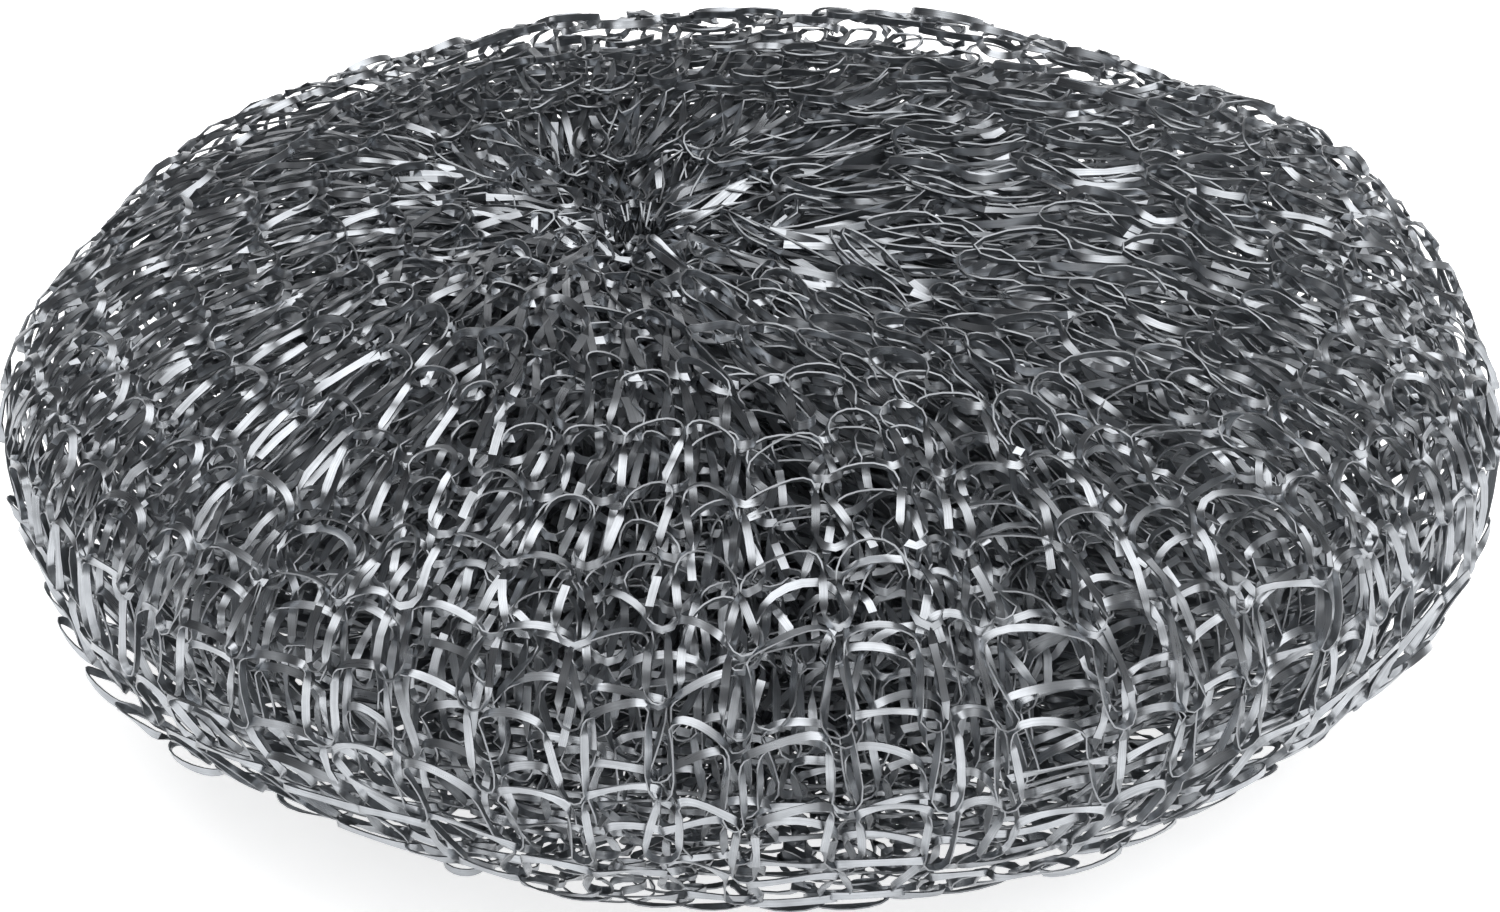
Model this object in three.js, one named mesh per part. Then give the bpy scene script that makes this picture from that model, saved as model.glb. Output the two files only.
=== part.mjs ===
// A knitted steel scouring pad. Flat ribbon wire is knitted into one tube, the tube is rolled on
// itself into a bun, and the bun is drawn together at the middle of its top and of its underside.
// Its skin is a ladder of stitches: wales run from gather to gather, and courses run round the pad.
import * as THREE from 'three';

// Overall form, in millimetres, with the resting face at z = 0
const padDiameter = 110;
const crownHeight = 17.5; // from the widest line up to the crest of the top
const bellyHeight = 24; // from the resting face up to the widest line
const crestDiameter = 52; // the highest ring of the top
const restRingDiameter = 40; // outside of the flat ring that the pad rests on
const restRingWidth = 9;
const baseDimpleDepth = 4;

// Top gather, which sits off the middle of the pad
const dishDepth = 2.6; // from the crest down to the throat's rim
const dishEase = 0.5; // share of the crest's radius over which the dish levels out
const throatDiameter = 6.4;
const throatDepth = 5;
const gatherShiftX = -8.5;
const gatherShiftY = 0.5;
const gatherReach = 40; // radius beyond which the top isn't drawn sideways
const pleatPitch = 3.2; // round a circle of twice the throat's width
const pleatHeight = 0.7;

// Hollows pressed into the top on either side of the gather
const hollows = [
  { x: -12, y: 11, radius: 7, depth: 2.5 },
  { x: 10, y: -15, radius: 9, depth: 3 },
];

// Knit
const walePitch = 6.17; // round the widest line
const coursePitch = 5.6; // along the wales
const stitchRelief = 6; // from the loops down into the pits between them
const rungDrop = 0.8; // loops that cross between two wales lie this much lower
const steepestPit = 1; // a pit is no deeper than this share of the wales' local spacing
const reliefRunOut = 3; // height above the resting face where the stitches stand out in full

const padRadius = padDiameter / 2;
const crestRadius = crestDiameter / 2;
const throatRadius = throatDiameter / 2;
const restRingRadius = restRingDiameter / 2;
const padHeight = bellyHeight + crownHeight;

// Half section of the smooth pad, from the middle of the base out round the side to the floor of the throat
function makeSection() {
  const section = new THREE.Path();
  const dimpleRadius = restRingRadius - restRingWidth;
  const rimHeight = padHeight - dishDepth;
  const throatFloor = rimHeight - throatDepth;
  section.moveTo(0, baseDimpleDepth);
  section.bezierCurveTo(
    dimpleRadius / 2, baseDimpleDepth,
    dimpleRadius / 2, 0,
    dimpleRadius, 0,
  );
  section.lineTo(restRingRadius, 0);
  section.absellipse(restRingRadius, bellyHeight, padRadius - restRingRadius, bellyHeight, -Math.PI / 2, 0);
  section.absellipse(crestRadius, bellyHeight, padRadius - crestRadius, crownHeight, 0, Math.PI / 2);
  section.bezierCurveTo(
    crestRadius - dishEase * crestRadius, padHeight,
    throatDiameter, rimHeight,
    throatRadius, rimHeight,
  );
  section.quadraticCurveTo(throatRadius, throatFloor, 0, throatFloor);
  return section;
}

// How far the gather draws the top sideways: all the way at its throat, and not at all beyond its reach
function gatherShare(radius) {
  return 1 - THREE.MathUtils.smoothstep(radius, throatRadius, gatherReach);
}

// Radial pleats rise from the throat's rim and die out at the crest
function pleatRise(radius, angle) {
  const pleatCount = Math.round(2 * Math.PI * throatDiameter / pleatPitch);
  const rise = THREE.MathUtils.smoothstep(radius, throatRadius, throatDiameter);
  const fall = 1 - THREE.MathUtils.smoothstep(radius, throatDiameter, crestRadius);
  return pleatHeight * rise * fall * Math.cos(pleatCount * angle);
}

function hollowDrop(x, y) {
  let drop = 0;
  for (const hollow of hollows) {
    const distance = Math.hypot(x - hollow.x, y - hollow.y) / hollow.radius;
    drop += hollow.depth * Math.exp(-distance * distance);
  }
  return drop;
}

// Depth under the outermost loops: wales lie on even columns, rungs on even rows, and pits between them
function stitchDepth(column, row, radius, height, waleCount) {
  const localWale = 2 * Math.PI * radius / waleCount;
  const deepest = Math.min(stitchRelief, steepestPit * localWale);
  const raised = THREE.MathUtils.smoothstep(height, 0, reliefRunOut);
  if (column % 2 === 0) return 0;
  if (row % 2 === 0) return raised * Math.min(rungDrop, deepest);
  return raised * deepest;
}

// Splits each patch of the net along the diagonal that runs into its pit
function netIndex(columns, rows) {
  const perColumn = rows + 1;
  const index = [];
  for (let column = 0; column < columns; column += 1) {
    for (let row = 0; row < rows; row += 1) {
      const a = column * perColumn + row;
      const b = a + perColumn;
      const c = b + 1;
      const d = a + 1;
      if ((column + row) % 2 === 0) index.push(a, b, c, a, c, d);
      else index.push(a, b, d, c, d, b);
    }
  }
  return index;
}

// The smooth pad is turned from its section, then pressed, pleated and knitted point by point
function makeKnittedPad() {
  const section = makeSection();
  const waleCount = Math.round(Math.PI * padDiameter / walePitch);
  const courseCount = Math.round(section.getLength() / coursePitch);
  const columns = 2 * waleCount;
  const rows = 2 * courseCount;
  const outline = section.getSpacedPoints(rows);
  const geometry = new THREE.LatheGeometry(outline, columns);
  geometry.rotateX(Math.PI / 2);
  geometry.setIndex(netIndex(columns, rows));
  const place = geometry.getAttribute('position');
  const facing = geometry.getAttribute('normal');
  const point = new THREE.Vector3();
  const normal = new THREE.Vector3();
  for (let vertex = 0; vertex < place.count; vertex += 1) {
    const row = vertex % (rows + 1);
    const column = Math.floor(vertex / (rows + 1)) % columns;
    const radius = outline[row].x;
    const height = outline[row].y;
    point.fromBufferAttribute(place, vertex);
    normal.fromBufferAttribute(facing, vertex);
    const angle = Math.atan2(point.y, point.x);
    point.addScaledVector(normal, -stitchDepth(column, row, radius, height, waleCount));
    if (height > bellyHeight) {
      const share = gatherShare(radius);
      point.x += share * gatherShiftX;
      point.y += share * gatherShiftY;
      point.z += pleatRise(radius, angle) - hollowDrop(point.x, point.y);
    }
    place.setXYZ(vertex, point.x, point.y, point.z);
  }
  geometry.computeVertexNormals();
  return geometry;
}

const galvanisedSteel = new THREE.MeshStandardMaterial({
  color: 0x9ba0a5,
  roughness: 0.35,
  metalness: 1,
  flatShading: true,
});

const knittedPad = new THREE.Mesh(makeKnittedPad(), galvanisedSteel);
knittedPad.name = 'knitted_pad';

const scourer = new THREE.Group();
scourer.add(knittedPad);

export default scourer;
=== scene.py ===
import math

import bmesh
import bpy
import numpy as np
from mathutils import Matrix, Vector


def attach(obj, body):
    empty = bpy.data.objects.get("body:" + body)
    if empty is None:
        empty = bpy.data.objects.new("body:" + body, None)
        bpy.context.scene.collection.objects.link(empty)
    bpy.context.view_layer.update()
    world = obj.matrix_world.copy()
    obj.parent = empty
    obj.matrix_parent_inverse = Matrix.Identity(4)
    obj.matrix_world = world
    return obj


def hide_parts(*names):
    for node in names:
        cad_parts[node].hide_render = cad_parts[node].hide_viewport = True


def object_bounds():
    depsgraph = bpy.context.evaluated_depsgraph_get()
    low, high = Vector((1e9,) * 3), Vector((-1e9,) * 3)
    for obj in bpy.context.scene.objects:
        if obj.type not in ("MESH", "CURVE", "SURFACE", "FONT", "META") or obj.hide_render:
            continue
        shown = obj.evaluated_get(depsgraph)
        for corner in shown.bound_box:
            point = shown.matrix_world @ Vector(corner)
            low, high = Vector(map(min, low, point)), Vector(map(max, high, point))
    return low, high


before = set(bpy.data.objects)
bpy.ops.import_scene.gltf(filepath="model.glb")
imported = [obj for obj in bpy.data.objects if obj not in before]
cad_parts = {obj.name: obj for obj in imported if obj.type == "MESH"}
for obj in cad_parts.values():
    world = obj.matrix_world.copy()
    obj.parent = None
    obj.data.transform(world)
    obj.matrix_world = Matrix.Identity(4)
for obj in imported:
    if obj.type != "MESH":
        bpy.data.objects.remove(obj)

cad_low, cad_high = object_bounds()

# Ribbon wire
# The whole pad is one length of mild steel wire, rolled flat into a ribbon and galvanised.
# Its broad faces are bright, with fine lines from the rolls and duller patches of zinc.
# Its narrow edges are duller than its faces, and are painted darker: painted shade for the dimmer light
# that rounded edges catch.

RIBBON_WIDTH = 0.00057
RIBBON_THICKNESS = 0.00012
ZINC_BRIGHT = (0.47, 0.49, 0.515, 1)
ZINC_DULL = (0.28, 0.293, 0.31, 1)
# darker colour of the narrow edges: painted shade for the dimmer light off a rounded edge
EDGE_PAINTED_SHADE = (0.27, 0.282, 0.297, 1)
GLOSSY = 0.26
DULLED = 0.42
EDGE_ROUGHNESS = 0.40
ROLL_LINE_SCALE = (2500.0, 44.0, 1.0)
ROLL_LINE_DETAIL = 2.0
ROLL_LINE_SHARE = 0.5
ZINC_PATCH_SCALE = 420.0
ZINC_PATCH_DETAIL = 3.0
ZINC_PATCH_SHARE = 0.5
BRIGHT_UP_TO = 0.36
DULL_FROM = 0.66
FACE_SHARE = 0.25  # each of the ribbon's four sides takes a quarter of the way round it


def link(tree, start, end):
    tree.links.new(start, end)


def arithmetic(tree, operation, number):
    """A step of arithmetic with a fixed second number."""
    step = tree.nodes.new("ShaderNodeMath")
    step.operation = operation
    step.inputs[1].default_value = number
    return step


def zinc_wear(tree, strip):
    """How dull the zinc is at a point: roll lines along the ribbon and patches all over."""
    stretch = tree.nodes.new("ShaderNodeMapping")
    stretch.inputs["Scale"].default_value = ROLL_LINE_SCALE
    lines = tree.nodes.new("ShaderNodeTexNoise")
    lines.inputs["Scale"].default_value = 1.0
    lines.inputs["Detail"].default_value = ROLL_LINE_DETAIL
    place = tree.nodes.new("ShaderNodeTexCoord")
    patches = tree.nodes.new("ShaderNodeTexNoise")
    patches.inputs["Scale"].default_value = ZINC_PATCH_SCALE
    patches.inputs["Detail"].default_value = ZINC_PATCH_DETAIL
    patch_part = arithmetic(tree, "MULTIPLY", ZINC_PATCH_SHARE)
    wear = arithmetic(tree, "MULTIPLY_ADD", ROLL_LINE_SHARE)
    link(tree, strip.outputs["UV"], stretch.inputs["Vector"])
    link(tree, stretch.outputs["Vector"], lines.inputs["Vector"])
    link(tree, place.outputs["Object"], patches.inputs["Vector"])
    link(tree, patches.outputs["Fac"], patch_part.inputs[0])
    link(tree, lines.outputs["Fac"], wear.inputs[0])
    link(tree, patch_part.outputs["Value"], wear.inputs[2])
    return wear.outputs["Value"]


def narrow_edge(tree, strip):
    """One on the ribbon's two narrow edges, nought on its two broad faces."""
    across = tree.nodes.new("ShaderNodeSeparateXYZ")
    face_and_edge = arithmetic(tree, "FLOORED_MODULO", 2 * FACE_SHARE)
    edge = arithmetic(tree, "GREATER_THAN", FACE_SHARE)
    link(tree, strip.outputs["UV"], across.inputs["Vector"])
    link(tree, across.outputs["Y"], face_and_edge.inputs[0])
    link(tree, face_and_edge.outputs["Value"], edge.inputs[0])
    return edge.outputs["Value"]


def galvanised_ribbon():
    material = bpy.data.materials.new("galvanised_ribbon")
    material.use_nodes = True
    tree = material.node_tree
    shader = tree.nodes["Principled BSDF"]
    shader.inputs["Metallic"].default_value = 1.0
    strip = tree.nodes.new("ShaderNodeUVMap")
    strip.uv_map = "ribbon"
    wear = zinc_wear(tree, strip)
    edge = narrow_edge(tree, strip)
    colour = tree.nodes.new("ShaderNodeValToRGB")
    colour.color_ramp.elements[0].position = BRIGHT_UP_TO
    colour.color_ramp.elements[0].color = ZINC_BRIGHT
    colour.color_ramp.elements[1].position = DULL_FROM
    colour.color_ramp.elements[1].color = ZINC_DULL
    gloss = tree.nodes.new("ShaderNodeMapRange")
    gloss.inputs["From Min"].default_value = BRIGHT_UP_TO
    gloss.inputs["From Max"].default_value = DULL_FROM
    gloss.inputs["To Min"].default_value = GLOSSY
    gloss.inputs["To Max"].default_value = DULLED
    # The narrow edges take a darker colour: painted shade for the dimmer light off rounded edges.
    edge_shading_mix = tree.nodes.new("ShaderNodeMix")
    edge_shading_mix.data_type = "RGBA"
    face_colour, edge_shade_colour = edge_shading_mix.inputs[6], edge_shading_mix.inputs[7]
    edge_shade_colour.default_value = EDGE_PAINTED_SHADE
    finish = tree.nodes.new("ShaderNodeMix")
    finish.inputs["B"].default_value = EDGE_ROUGHNESS
    link(tree, wear, colour.inputs["Fac"])
    link(tree, wear, gloss.inputs["Value"])
    link(tree, edge, edge_shading_mix.inputs["Factor"])
    link(tree, edge, finish.inputs["Factor"])
    link(tree, colour.outputs["Color"], face_colour)
    link(tree, gloss.outputs["Result"], finish.inputs["A"])
    link(tree, edge_shading_mix.outputs[2], shader.inputs["Base Color"])
    link(tree, finish.outputs["Result"], shader.inputs["Roughness"])
    return material


zinc_steel = galvanised_ribbon()

# Bun
# The knitted tube is rolled on itself into a bun and drawn together at the middle of the top,
# so that the top is dished round an off-centre gather and the base is pressed flat where it rests.

PAD_RADIUS = (cad_high.x - cad_low.x) / 2
PAD_HEIGHT = cad_high.z
BELLY_HEIGHT = 0.0240
CREST_RADIUS = 0.026
REST_RING_RADIUS = 0.020
REST_RING_WIDTH = 0.009
BASE_DIMPLE_DEPTH = 0.004
DISH_DEPTH = 0.0026
DISH_EASE = 0.5
THROAT_RADIUS = 0.0032
THROAT_DEPTH = 0.005
GATHER_SHIFT = (-0.0085, 0.0005)
GATHER_REACH = 0.040
PLEAT_PITCH = 0.0032
PLEAT_HEIGHT = 0.0007
PRESS_EASE = 0.004  # the top is pressed from this far below the widest line, and fully as far above it
HOLLOWS = (
    {"x": -0.012, "y": 0.011, "radius": 0.007, "depth": 0.0025},
    {"x": 0.010, "y": -0.015, "radius": 0.009, "depth": 0.0030},
)
PROUD_SHOULDER = {"x": 0.040, "y": 0.016, "radius": 0.010, "depth": -0.0020}
CREST_SHARE = 1.15  # a turn's crest lies this many insets down
BASE_SHARE = 2.8  # and its base this many insets up
BASE_CLEARANCE = 0.005  # but no further above its inset than this
SECTION_STEPS = 120


def smooth_step(value, low, high):
    share = np.clip((value - low) / (high - low), 0, 1)
    return share * share * (3 - 2 * share)


def bezier(start, leave, arrive, end):
    t = np.linspace(0, 1, SECTION_STEPS)[:, None]
    start, leave, arrive, end = (np.array(p) for p in (start, leave, arrive, end))
    return (1 - t) ** 3 * start + 3 * t * (1 - t) ** 2 * leave + 3 * t**2 * (1 - t) * arrive + t**3 * end


def quarter_ellipse(middle, wide, high, turn_from):
    turn = np.linspace(turn_from, turn_from - math.pi / 2, SECTION_STEPS)
    return np.stack([middle + wide * np.cos(turn), BELLY_HEIGHT + high * np.sin(turn)], 1)


def half_section(inset):
    """Radius and height of one turn of the roll, from the throat out round the side to the base."""
    crest = PAD_HEIGHT - CREST_SHARE * inset
    rim = crest - DISH_DEPTH
    pinch = rim - THROAT_DEPTH
    widest = PAD_RADIUS - inset
    lowest = min(BASE_SHARE * inset, inset + BASE_CLEARANCE)
    dimple = REST_RING_RADIUS - REST_RING_WIDTH
    throat = bezier((0, pinch), (THROAT_RADIUS, pinch), (THROAT_RADIUS, pinch), (THROAT_RADIUS, rim))
    dish = bezier(
        (THROAT_RADIUS, rim),
        (2 * THROAT_RADIUS, rim),
        (CREST_RADIUS - DISH_EASE * CREST_RADIUS, crest),
        (CREST_RADIUS, crest),
    )
    shoulder = quarter_ellipse(CREST_RADIUS, widest - CREST_RADIUS, crest - BELLY_HEIGHT, math.pi / 2)
    belly = quarter_ellipse(REST_RING_RADIUS, widest - REST_RING_RADIUS, BELLY_HEIGHT - lowest, 0)
    base = bezier((REST_RING_RADIUS, lowest), (dimple, lowest), (dimple, lowest), (dimple, lowest))
    inner = bezier(
        (dimple, lowest),
        (dimple / 2, lowest),
        (dimple / 2, lowest + BASE_DIMPLE_DEPTH),
        (0, lowest + BASE_DIMPLE_DEPTH),
    )
    return np.concatenate([throat, dish[1:], shoulder[1:], belly[1:], base[1:], inner[1:]])


def pleat_rise(radius, angle):
    """Radial pleats rise from the throat's rim and die out at the crest."""
    pleats = round(4 * math.pi * THROAT_RADIUS / PLEAT_PITCH)
    rise = smooth_step(radius, THROAT_RADIUS, 2 * THROAT_RADIUS)
    rise = rise * (1 - smooth_step(radius, 2 * THROAT_RADIUS, CREST_RADIUS))
    return PLEAT_HEIGHT * rise * np.cos(pleats * angle)


def press_top(points, radius):
    """Draws the top towards the gather, raises its pleats and presses in its hollows."""
    top = smooth_step(points[:, 2], BELLY_HEIGHT - PRESS_EASE, BELLY_HEIGHT + PRESS_EASE)
    share = top * (1 - smooth_step(radius, THROAT_RADIUS, GATHER_REACH))
    angle = np.arctan2(points[:, 1], points[:, 0])
    points[:, 0] += share * GATHER_SHIFT[0]
    points[:, 1] += share * GATHER_SHIFT[1]
    points[:, 2] += top * pleat_rise(radius, angle)
    for hollow in (*HOLLOWS, PROUD_SHOULDER):
        away = np.hypot(points[:, 0] - hollow["x"], points[:, 1] - hollow["y"]) / hollow["radius"]
        points[:, 2] -= top * hollow["depth"] * np.exp(-away * away)
    return points


# Knitted turns
# Every turn of the roll is the same plain-knit tube: narrow needle loops stand in wales, and rungs
# join the wales. The rungs are stretched flat round the side, hang slack under it, arch on the
# shoulder and curl into hoops on top. On one side the top is drawn long and flat to the gather.

WALES = 56
COURSE_PITCH = 0.0056
DRAWN_STRETCH = 0.5  # courses lie this share further apart at the middle of the pad than at its side
STITCH_REACH = 0.58  # a loop reaches this share of a course to either side of its line
HEAD_RADIUS = 0.0010
WIDEST_RUNG = 3.0  # in wale pitches

# Loops in each state of the knit: half width and rise of a rung, and how far it curls past a half
# circle, in radians; how far heads, legs and rungs stand out, and how far rungs are lifted; how far
# legs are turned to show their faces, in degrees, and how far the bends lean forward
KNIT = {
    "stretched": {
        "rung_half": 0.0024, "rung_rise": 0.0008, "overhang": 0.0, "bulge": 0.0,
        "head_out": 0.0004, "leg_out": 0.0002, "rung_out": 0.0001, "lift": 0.0,
        "leg_turn": 64, "leg_spread": 30, "flat_ease": 0.40, "lean": 0.0,
    },
    "hanging": {
        "rung_half": 0.0025, "rung_rise": 0.0015, "overhang": 0.2, "bulge": 0.0002,
        "head_out": 0.0008, "leg_out": 0.0007, "rung_out": 0.0008, "lift": 0.0005,
        "leg_turn": 62, "leg_spread": 30, "flat_ease": 0.5, "lean": 0.0,
    },
    "arched": {
        "rung_half": 0.0027, "rung_rise": 0.0018, "overhang": 0.2, "bulge": 0.0,
        "head_out": 0.0003, "leg_out": 0.0009, "rung_out": -0.0003, "lift": 0.0005,
        "leg_turn": 88, "leg_spread": 16, "flat_ease": 0.2, "lean": 0.0,
    },
    "hooped": {
        "rung_half": 0.0021, "rung_rise": 0.0016, "overhang": 1.25, "bulge": 0.0,
        "head_out": 0.0002, "leg_out": -0.0003, "rung_out": 0.0004, "lift": 0.0009,
        "leg_turn": 74, "leg_spread": 30, "flat_ease": 0.3, "lean": 0.55,
    },
    "drawn": {
        "rung_half": 0.0018, "rung_rise": 0.0012, "overhang": 0.35, "bulge": 0.0,
        "head_out": 0.0002, "leg_out": 0.0004, "rung_out": 0.0002, "lift": 0.0003,
        "leg_turn": 88, "leg_spread": 14, "flat_ease": 0.12, "lean": 0.25,
    },
    "gathered": {
        "rung_half": 0.0015, "rung_rise": 0.0013, "overhang": 0.2, "bulge": 0.0,
        "head_out": 0.0002, "leg_out": 0.0003, "rung_out": 0.0001, "lift": 0.0005,
        "leg_turn": 55, "leg_spread": 45, "flat_ease": 0.3, "lean": 0.25,
    },
}

# Where each state of the knit holds, by how far the surface faces up or down, in degrees
ARCHED_FROM = (12, 35)
HOOPED_FROM = (60, 82)
HANGING_FROM = (5, 40)
DRAWN_FROM = (35, 65)
DRAWN_SIDE = math.radians(208)
DRAWN_SPAN = (0.0, 0.8)  # cosine of the angle away from the drawn side
GATHERED_FROM = (0.58, 0.88)  # share of the way in from the side

# Turn of the ribbon about its length, in degrees, by how far the surface faces up
RUNG_TILT = ((20, 44, 59, 85), (-84, -55, -33, 0))
HEAD_TILT = ((30, 60), (22, 72))
RUNG_TWIST = 22
HEAD_TWIST = 15
LOOSE_TWIST = 10
LEAN_EASE = 0.4

# Unevenness of single loops, as shares of their sizes or in metres, by five traits of each loop
LOOP_TRAITS = 5
WIDE, LIFT, ROUND, ALONG, OUT = range(LOOP_TRAITS)
HEAD_WIDE_VARIES = 0.15
RUNG_WIDE_VARIES = 0.12
RUNG_RISE_VARIES = 0.22
LIFT_VARIES = 0.5
LIFT_LIMITS = (0.3, 1.7)
HEAD_STRAYS = {"round": 0.00025, "along": 0.0003, "out": 0.00015}
RUNG_STRAYS = {"round": 0.00045, "along": 0.0004, "out": 0.00025}
TIGHTEST_PITCH = 0.002  # nearer the gather than this wale pitch, loops stray no further round the pad
LEG_OUT_EASE = 0.6

# Unevenness of whole wales and areas, as shares of a stitch or in metres
WALE_SWAY = 0.11
COURSE_SWAY = 0.09
SWAY_SEED = 7
SWELL_ROUND = 0.15
SWELL_ALONG = 0.15
SWELL_OUT = 0.0003
SWELL_WAVES = 6
WAVES_ROUND_PAD = (2, 11)
WAVES_ALONG_COURSES = (0.2, 1.1)

# Turns of the roll, from the outside in, with the inner turns lower along the far crest
FAR_DROP = 0.0017
FAR_SLACK = (0.012, 0.040)
CROWN = (0.028, 0.036)
TURNS = (
    {"name": "outer_turn", "inset": 0.0007, "mouth": 0.0020, "shift": 0.0, "cuts": (2, 4, 5), "seed": 11},
    {"name": "second_turn", "inset": 0.0015, "mouth": 0.0026, "shift": 0.05, "cuts": (2, 4, 5), "seed": 23},
    {"name": "third_turn", "inset": 0.0025, "mouth": 0.0035, "shift": 0.3, "cuts": (2, 4, 4), "seed": 37},
    {"name": "fourth_turn", "inset": 0.0040, "mouth": 0.0045, "shift": 0.55, "cuts": (2, 3, 3), "seed": 41},
    {"name": "fifth_turn", "inset": 0.0061, "mouth": 0.0055, "shift": 0.7, "cuts": (2, 3, 3), "seed": 59},
    {"name": "sixth_turn", "inset": 0.0090, "mouth": 0.0060, "shift": 0.0, "cuts": (1, 3, 2), "seed": 83},
    {"name": "seventh_turn", "inset": 0.0127, "mouth": 0.0060, "shift": 0.4, "cuts": (1, 3, 2), "seed": 89},
    {"name": "inmost_turn", "inset": 0.0150, "mouth": 0.0060, "shift": 0.8, "cuts": (1, 2, 2), "seed": 97},
)

# Mesh of the ribbon
SIDES = 4
GRID_HALF = 0.5
WELD = 1e-7
SHARP_ANGLE = math.radians(50)
BAKE_ROWS = 72
ROW_MARGIN = 0.05
TINY = 1e-12
NUDGE = 1e-3


def unit(vectors):
    return vectors / np.maximum(np.linalg.norm(vectors, axis=1), TINY)[:, None]


def lay_out(made):
    """Where each course of a turn lies along its section, and which way the knit runs there."""
    section = half_section(made["inset"])
    section = section[section[:, 0] > made["mouth"]]
    step = np.diff(section, axis=0)
    middle = (section[1:, 0] + section[:-1, 0]) / 2
    stretch = 1 + DRAWN_STRETCH * (1 - middle / PAD_RADIUS)
    course = np.concatenate([[0], np.cumsum(np.hypot(*step.T) / (COURSE_PITCH * stretch))])
    courses = round(course[-1])
    return {
        "section": section,
        "slope": unit(np.gradient(section, axis=0)),
        "course": course * courses / course[-1],
        "courses": courses,
        "shift": made["shift"],
        "far_drop": FAR_DROP if made["inset"] > TURNS[0]["inset"] else 0.0,
    }


def place_on(turn, angle, course, out):
    """Points of the turn at an angle round the pad, a course along it and a height out of the knit."""
    lines = (*turn["section"].T, *turn["slope"].T)
    radius, height, run, rise = (np.interp(course, turn["course"], line) for line in lines)
    level = height + out * run
    reach = radius - out * rise
    points = np.stack([reach * np.cos(angle), reach * np.sin(angle), level], 1)
    points = press_top(points, radius)
    slack = smooth_step(points[:, 1], *FAR_SLACK) * smooth_step(level, *CROWN)
    points[:, 2] -= turn["far_drop"] * slack
    return points


def drift(values, positions):
    """Moves smoothly from one value to the next, and round to the first again."""
    index = np.floor(positions).astype(int)
    share = smooth_step(positions - index, 0, 1)
    return values[index % len(values)] * (1 - share) + values[(index + 1) % len(values)] * share


def swell(rng, angle, course):
    """Slow waves that run over a whole turn."""
    total = np.zeros_like(angle)
    for _ in range(SWELL_WAVES):
        around = rng.integers(*WAVES_ROUND_PAD)
        along = rng.uniform(*WAVES_ALONG_COURSES)
        total += np.sin(around * angle + along * course + rng.uniform(0, 2 * math.pi))
    return total / math.sqrt(SWELL_WAVES)


def stitch_parts(stitches, cuts):
    """Which stitch each point of the ribbon is in, and how far round its head, leg and rung it is."""
    heads, legs, rungs = cuts
    half = heads + legs + rungs
    index = np.arange(2 * half * stitches + 1)
    stitch = index // (2 * half)
    within = index % (2 * half)
    rising = within < half
    step = np.where(rising, within, 2 * half - within)
    up_leg = smooth_step(step - heads, 0, legs)
    return {
        "stitch": stitch,
        "head": np.where(rising, stitch, stitch + 1),
        "leg": 2 * stitch + ~rising,
        "side": np.where(rising, 1, -1),
        "wale": index / (2 * half),
        "round_head": math.pi / 2 * np.clip(step / heads, 0, 1),
        "up_leg": up_leg,
        "mid_leg": np.sin(math.pi * up_leg),
        "over_rung": np.clip((step - heads - legs) / rungs, 0, 1),
    }


def facing_share(facing, band):
    return smooth_step(facing, math.radians(band[0]), math.radians(band[1]))


def knit_along(turn, wale):
    """The state of the knit at each point of the ribbon: its pitches, facing and loop sizes."""
    lines = (turn["section"][:, 0], *turn["slope"].T)
    radius, run, rise = (np.interp(wale / WALES, turn["course"], line) for line in lines)
    facing = np.arctan2(run, -rise)
    angle = 2 * math.pi * wale / WALES
    arched = facing_share(facing, ARCHED_FROM)
    hooped = facing_share(facing, HOOPED_FROM)
    under = facing_share(-facing, HANGING_FROM)
    drawn = smooth_step(np.cos(angle - DRAWN_SIDE), *DRAWN_SPAN) * facing_share(facing, DRAWN_FROM)
    near = smooth_step(1 - radius / PAD_RADIUS, *GATHERED_FROM)
    share = {
        "stretched": (1 - arched) * (1 - under),
        "hanging": under * (1 - near),
        "arched": arched * (1 - hooped) * (1 - drawn) * (1 - near),
        "hooped": hooped * (1 - drawn) * (1 - near),
        "drawn": arched * drawn * (1 - near),
        "gathered": (arched + under) * near,
    }
    knit = {size: sum(share[state] * KNIT[state][size] for state in KNIT) for size in KNIT["drawn"]}
    knit["facing"] = facing
    knit["wale_pitch"] = 2 * math.pi * radius / WALES
    knit["course_pitch"] = COURSE_PITCH * (1 + DRAWN_STRETCH * (1 - radius / PAD_RADIUS))
    return knit


def soften(values):
    """Rounds off the joints between heads, legs and rungs."""
    rounded = values.copy()
    rounded[1:-1] = (values[:-2] + 2 * values[1:-1] + values[2:]) / 4
    return rounded


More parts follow.
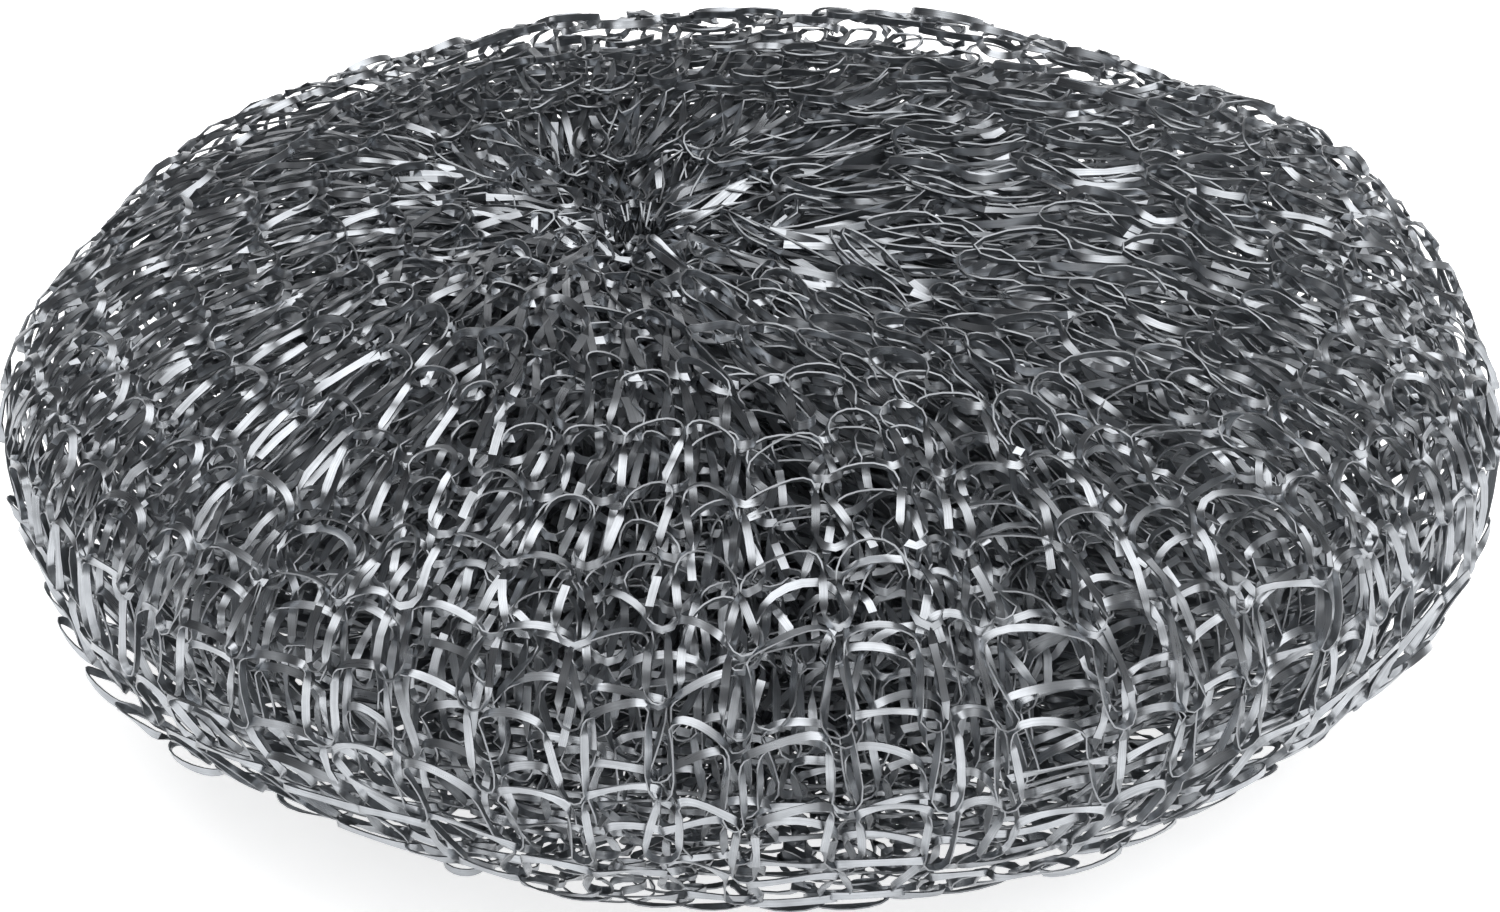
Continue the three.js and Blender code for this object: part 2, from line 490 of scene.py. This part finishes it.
def loop_line(part, knit, head, rung):
    """Wale and course of the ribbon's middle line, round each head, up a leg and round a rung."""
    up = part["up_leg"]
    side = part["side"]
    wale_pitch = knit["wale_pitch"]
    stray_pitch = wale_pitch.clip(TIGHTEST_PITCH)
    head_wide = HEAD_RADIUS * (1 + HEAD_WIDE_VARIES * head[WIDE])
    rung_wide = knit["rung_half"] * (1 + RUNG_WIDE_VARIES * rung[WIDE])
    rung_high = knit["rung_rise"] * (1 + RUNG_RISE_VARIES * rung[ALONG])
    over_rung = part["over_rung"] * (math.pi / 2 + knit["overhang"]) - knit["overhang"]
    head_x = part["head"] + HEAD_STRAYS["round"] * head[ROUND] / stray_pitch
    rung_x = part["stitch"] + 0.5 + RUNG_STRAYS["round"] * rung[ROUND] / stray_pitch
    head_reach = np.clip(head_wide / wale_pitch, 0, WIDEST_RUNG) * np.sin(part["round_head"])
    rung_reach = np.clip(rung_wide / wale_pitch, 0, WIDEST_RUNG) * np.cos(over_rung)
    along = (1 - up) * (head_x + side * head_reach) + up * (rung_x - side * rung_reach)
    along += side * knit["bulge"] * part["mid_leg"] / stray_pitch
    head_fall = HEAD_STRAYS["along"] * head[ALONG] - head_wide * (1 - np.cos(part["round_head"]))
    rung_climb = RUNG_STRAYS["along"] * rung[ALONG] + rung_high * (1 - np.sin(over_rung))
    head_y = STITCH_REACH + head_fall / knit["course_pitch"]
    rung_y = -STITCH_REACH + rung_climb / knit["course_pitch"]
    return along, part["wale"] / WALES + (1 - up) * head_y + up * rung_y


def height_out(part, knit, head, rung):
    """How far the ribbon's middle line stands out of the knit."""
    up = part["up_leg"]
    head_out = knit["head_out"] + HEAD_STRAYS["out"] * head[OUT]
    rung_out = knit["rung_out"] + RUNG_STRAYS["out"] * rung[OUT]
    out = (1 - up) * head_out + up * rung_out
    out += (knit["leg_out"] - out) * part["mid_leg"] ** LEG_OUT_EASE
    lift = knit["lift"] * np.clip(1 + LIFT_VARIES * rung[LIFT], *LIFT_LIMITS)
    return out + lift * np.sin(math.pi / 2 * part["over_rung"])


def pull_about(turn, along, course, out, rng):
    """Sways whole wales and courses and swells whole areas, as rolling and handling do."""
    shared = np.random.default_rng(SWAY_SEED)
    along = along + WALE_SWAY * drift(shared.standard_normal(WALES), along) + turn["shift"]
    course = course + COURSE_SWAY * drift(rng.standard_normal(WALES), along)
    angle = 2 * math.pi * along / WALES
    angle += SWELL_ROUND * 2 * math.pi / WALES * swell(shared, angle, course)
    course += SWELL_ALONG * swell(rng, angle, course)
    out = out + SWELL_OUT * swell(rng, angle, course)
    return soften(angle), np.clip(soften(course), 0, turn["courses"]), soften(out)


def ribbon_roll(part, knit, rng, stitches):
    """Turn of the ribbon about its length: flat in mid-leg, on edge where it bends."""
    hand = rng.choice([-1, 1], 2 * stitches + 2)[part["leg"]]
    leg_twist = knit["leg_spread"] * rng.standard_normal(2 * stitches + 2)[part["leg"]]
    leg = hand * np.radians(knit["leg_turn"] + leg_twist) * part["mid_leg"] ** knit["flat_ease"]
    rung = np.interp(knit["facing"], *np.radians(RUNG_TILT))
    rung += math.radians(RUNG_TWIST) * rng.standard_normal(stitches + 1)[part["stitch"]]
    head = np.interp(knit["facing"], *np.radians(HEAD_TILT))
    head += math.radians(HEAD_TWIST) * rng.standard_normal(stitches + 2)[part["head"]]
    loose = math.radians(LOOSE_TWIST) * drift(rng.standard_normal(stitches), part["wale"])
    on_head = np.cos(part["round_head"])
    on_rung = np.sin(math.pi / 2 * part["over_rung"])
    return leg + rung * on_rung + head * on_head + loose


def outward_from(turn, angle, course, out):
    """Direction straight out of the knit at each point of the ribbon."""
    round_pad = place_on(turn, angle + NUDGE, course, out) - place_on(turn, angle - NUDGE, course, out)
    down_pad = place_on(turn, angle, course + NUDGE, out) - place_on(turn, angle, course - NUDGE, out)
    return unit(np.cross(down_pad, round_pad))


def ribbon_path(turn, cuts, rng):
    """Middle line of the ribbon through every loop of a turn, and the directions of its width and face."""
    stitches = WALES * turn["courses"]
    part = stitch_parts(stitches, cuts)
    knit = knit_along(turn, part["wale"])
    head = rng.standard_normal((stitches + 2, LOOP_TRAITS))[part["head"]].T
    rung = rng.standard_normal((stitches + 2, LOOP_TRAITS))[part["stitch"]].T
    along, course = loop_line(part, knit, head, rung)
    out = height_out(part, knit, head, rung)
    angle, course, out = pull_about(turn, along, course, out, rng)
    path = place_on(turn, angle, course, out)
    path[:, 2] = np.maximum(path[:, 2], RIBBON_WIDTH / 2)
    forward = unit(np.gradient(path, axis=0))
    sideways = unit(np.cross(outward_from(turn, angle, course, out), forward))
    upright = np.cross(forward, sideways)
    roll = ribbon_roll(part, knit, rng, stitches)[:, None]
    width = np.cos(roll) * upright + np.sin(roll) * sideways
    width[:, 1] -= knit["lean"] * (1 - part["mid_leg"] ** LEAN_EASE)
    width = unit(width - np.sum(width * forward, axis=1)[:, None] * forward)
    return path, width, unit(np.cross(forward, width))


def lay_in_rows(mesh, lengths):
    """Cuts the ribbon's strip into rows of equal length, one above the other, on a second map."""
    strip = np.zeros(len(mesh.loops) * 2)
    mesh.uv_layers["ribbon"].uv.foreach_get("vector", strip)
    strip = strip.reshape(-1, SIDES, 2)
    per_row = math.ceil(lengths / BAKE_ROWS)
    place = strip[:, :, 0] * lengths
    row = np.floor(place.mean(1) / per_row)[:, None]
    along = place / per_row - row
    across = (row + ROW_MARGIN + (1 - 2 * ROW_MARGIN) * strip[:, :, 1]) / BAKE_ROWS
    baked = mesh.uv_layers.new(name="OFBake")
    baked.uv.foreach_set("vector", np.stack([along, across], 2).ravel())


def ribbon_mesh(name, path, width, face):
    """A strip of cells folded into the ribbon's flat box section and led along its path."""
    across = RIBBON_WIDTH / 2 * width
    through = RIBBON_THICKNESS / 2 * face
    corners = np.stack([
        path + across + through,
        path - across + through,
        path - across - through,
        path + across - through,
        path + across + through,
    ])
    lengths = len(path) - 1
    ribbon = bmesh.new()
    ribbon.loops.layers.uv.new("ribbon")
    bmesh.ops.create_grid(ribbon, x_segments=lengths, y_segments=SIDES, size=GRID_HALF, calc_uvs=True)
    for vertex in ribbon.verts:
        step = round((vertex.co.x + GRID_HALF) * lengths)
        side = round((vertex.co.y + GRID_HALF) * SIDES)
        vertex.co = corners[side, step]
    bmesh.ops.remove_doubles(ribbon, verts=ribbon.verts[:], dist=WELD)
    ends = [edge for edge in ribbon.edges if edge.is_boundary]
    bmesh.ops.holes_fill(ribbon, edges=ends, sides=SIDES)
    bmesh.ops.recalc_face_normals(ribbon, faces=ribbon.faces[:])
    mesh = bpy.data.meshes.new(name)
    ribbon.to_mesh(mesh)
    ribbon.free()
    lay_in_rows(mesh, lengths)
    mesh.shade_smooth()
    mesh.set_sharp_from_angle(angle=SHARP_ANGLE)
    return mesh


for made in TURNS:
    rng = np.random.default_rng(made["seed"])
    mesh = ribbon_mesh(made["name"], *ribbon_path(lay_out(made), made["cuts"], rng))
    mesh.materials.append(zinc_steel)
    knitted = bpy.data.objects.new(made["name"], mesh)
    bpy.context.scene.collection.objects.link(knitted)
    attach(knitted, "root")
    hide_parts("knitted_pad")

# Floor
# The pad lies on a plain white worktop, one smooth matt sheet that turns up at the back.
# It keeps a light shadow of the pad.

FLOOR_HALF = 1.2
TURN_UP_RADIUS = 0.9
TURN_UP_STEPS = 16
FLOOR_WELD = 1e-6
FLOOR_WHITE = (0.9, 0.9, 0.9, 1)
FLOOR_ROUGHNESS = 0.8
SEEN_WHITE = 0.72


def worktop_mesh():
    sheet = bmesh.new()
    bmesh.ops.create_grid(sheet, x_segments=1, y_segments=1, size=FLOOR_HALF)
    back = [edge for edge in sheet.edges if all(vert.co.y > 0 for vert in edge.verts)]
    bmesh.ops.spin(
        sheet, geom=back, cent=(0, FLOOR_HALF, TURN_UP_RADIUS), axis=(1, 0, 0),
        angle=math.pi / 2, steps=TURN_UP_STEPS, use_merge=False)
    bmesh.ops.remove_doubles(sheet, verts=sheet.verts[:], dist=FLOOR_WELD)
    bmesh.ops.recalc_face_normals(sheet, faces=sheet.faces[:])
    mesh = bpy.data.meshes.new("worktop")
    sheet.to_mesh(mesh)
    sheet.free()
    mesh.shade_smooth()
    return mesh


def worktop_white():
    material = bpy.data.materials.new("worktop_white")
    material.use_nodes = True
    tree = material.node_tree
    shader = tree.nodes["Principled BSDF"]
    shader.inputs["Base Color"].default_value = FLOOR_WHITE
    shader.inputs["Roughness"].default_value = FLOOR_ROUGHNESS
    shader.inputs["Emission Color"].default_value = (1, 1, 1, 1)
    rays = tree.nodes.new("ShaderNodeLightPath")
    seen = rays.outputs["Is Camera Ray"]
    for ray in ("Is Glossy Ray", "Is Transmission Ray"):
        either = tree.nodes.new("ShaderNodeMath")
        either.operation = "MAXIMUM"
        link(tree, seen, either.inputs[0])
        link(tree, rays.outputs[ray], either.inputs[1])
        seen = either.outputs["Value"]
    white = arithmetic(tree, "MULTIPLY", SEEN_WHITE)
    link(tree, seen, white.inputs[0])
    link(tree, white.outputs["Value"], shader.inputs["Emission Strength"])
    return material


worktop = bpy.data.objects.new("worktop", worktop_mesh())
worktop.data.materials.append(worktop_white())
bpy.context.scene.collection.objects.link(worktop)

# Light
# Plain soft studio light: a broad panel over the pad, a smaller one in front and a dim room.
# Both panels face the middle of the pad.

ROOM_GREY = (0.06, 0.06, 0.064, 1)
PANELS = (
    {"name": "overhead", "place": (0.12, -0.18, 0.9), "size": 1.5, "watts": 15.8},
    {"name": "front", "place": (0.1, -1.1, 0.45), "size": 0.8, "watts": 1.8},
)


def hang_panel(panel):
    lamp = bpy.data.lights.new(panel["name"], "AREA")
    lamp.size = panel["size"]
    lamp.energy = panel["watts"]
    holder = bpy.data.objects.new(panel["name"], lamp)
    holder.location = panel["place"]
    aim = Vector((0, 0, BELLY_HEIGHT)) - holder.location
    holder.rotation_mode = "QUATERNION"
    holder.rotation_quaternion = aim.to_track_quat("-Z", "Y")
    bpy.context.scene.collection.objects.link(holder)


for panel in PANELS:
    hang_panel(panel)

room = bpy.data.worlds.new("room")
room.use_nodes = True
room.node_tree.nodes["Background"].inputs["Color"].default_value = ROOM_GREY
bpy.context.scene.world = room

# Camera
# The pad is seen a little from above, from well back, so that it fills the picture.

PICTURE_WIDTH_PX = 1500
PX_PER_METRE = 13447
SENSOR_WIDTH_MM = 36
VIEW_DISTANCE = 0.450
VIEW_ELEVATION = math.radians(26.35)
LOOK_AT = Vector((0, 0, 0.01949))

camera_data = bpy.data.cameras.new("camera")
camera_data.sensor_width = SENSOR_WIDTH_MM
camera_data.lens = SENSOR_WIDTH_MM * PX_PER_METRE * VIEW_DISTANCE / PICTURE_WIDTH_PX
camera = bpy.data.objects.new("camera", camera_data)
back = Vector((0, -math.cos(VIEW_ELEVATION), math.sin(VIEW_ELEVATION)))
camera.location = LOOK_AT + VIEW_DISTANCE * back
camera.rotation_mode = "QUATERNION"
camera.rotation_quaternion = (-back).to_track_quat("-Z", "Y")
bpy.context.scene.collection.objects.link(camera)
bpy.context.scene.camera = camera
bpy.context.scene.view_settings.view_transform = "Standard"
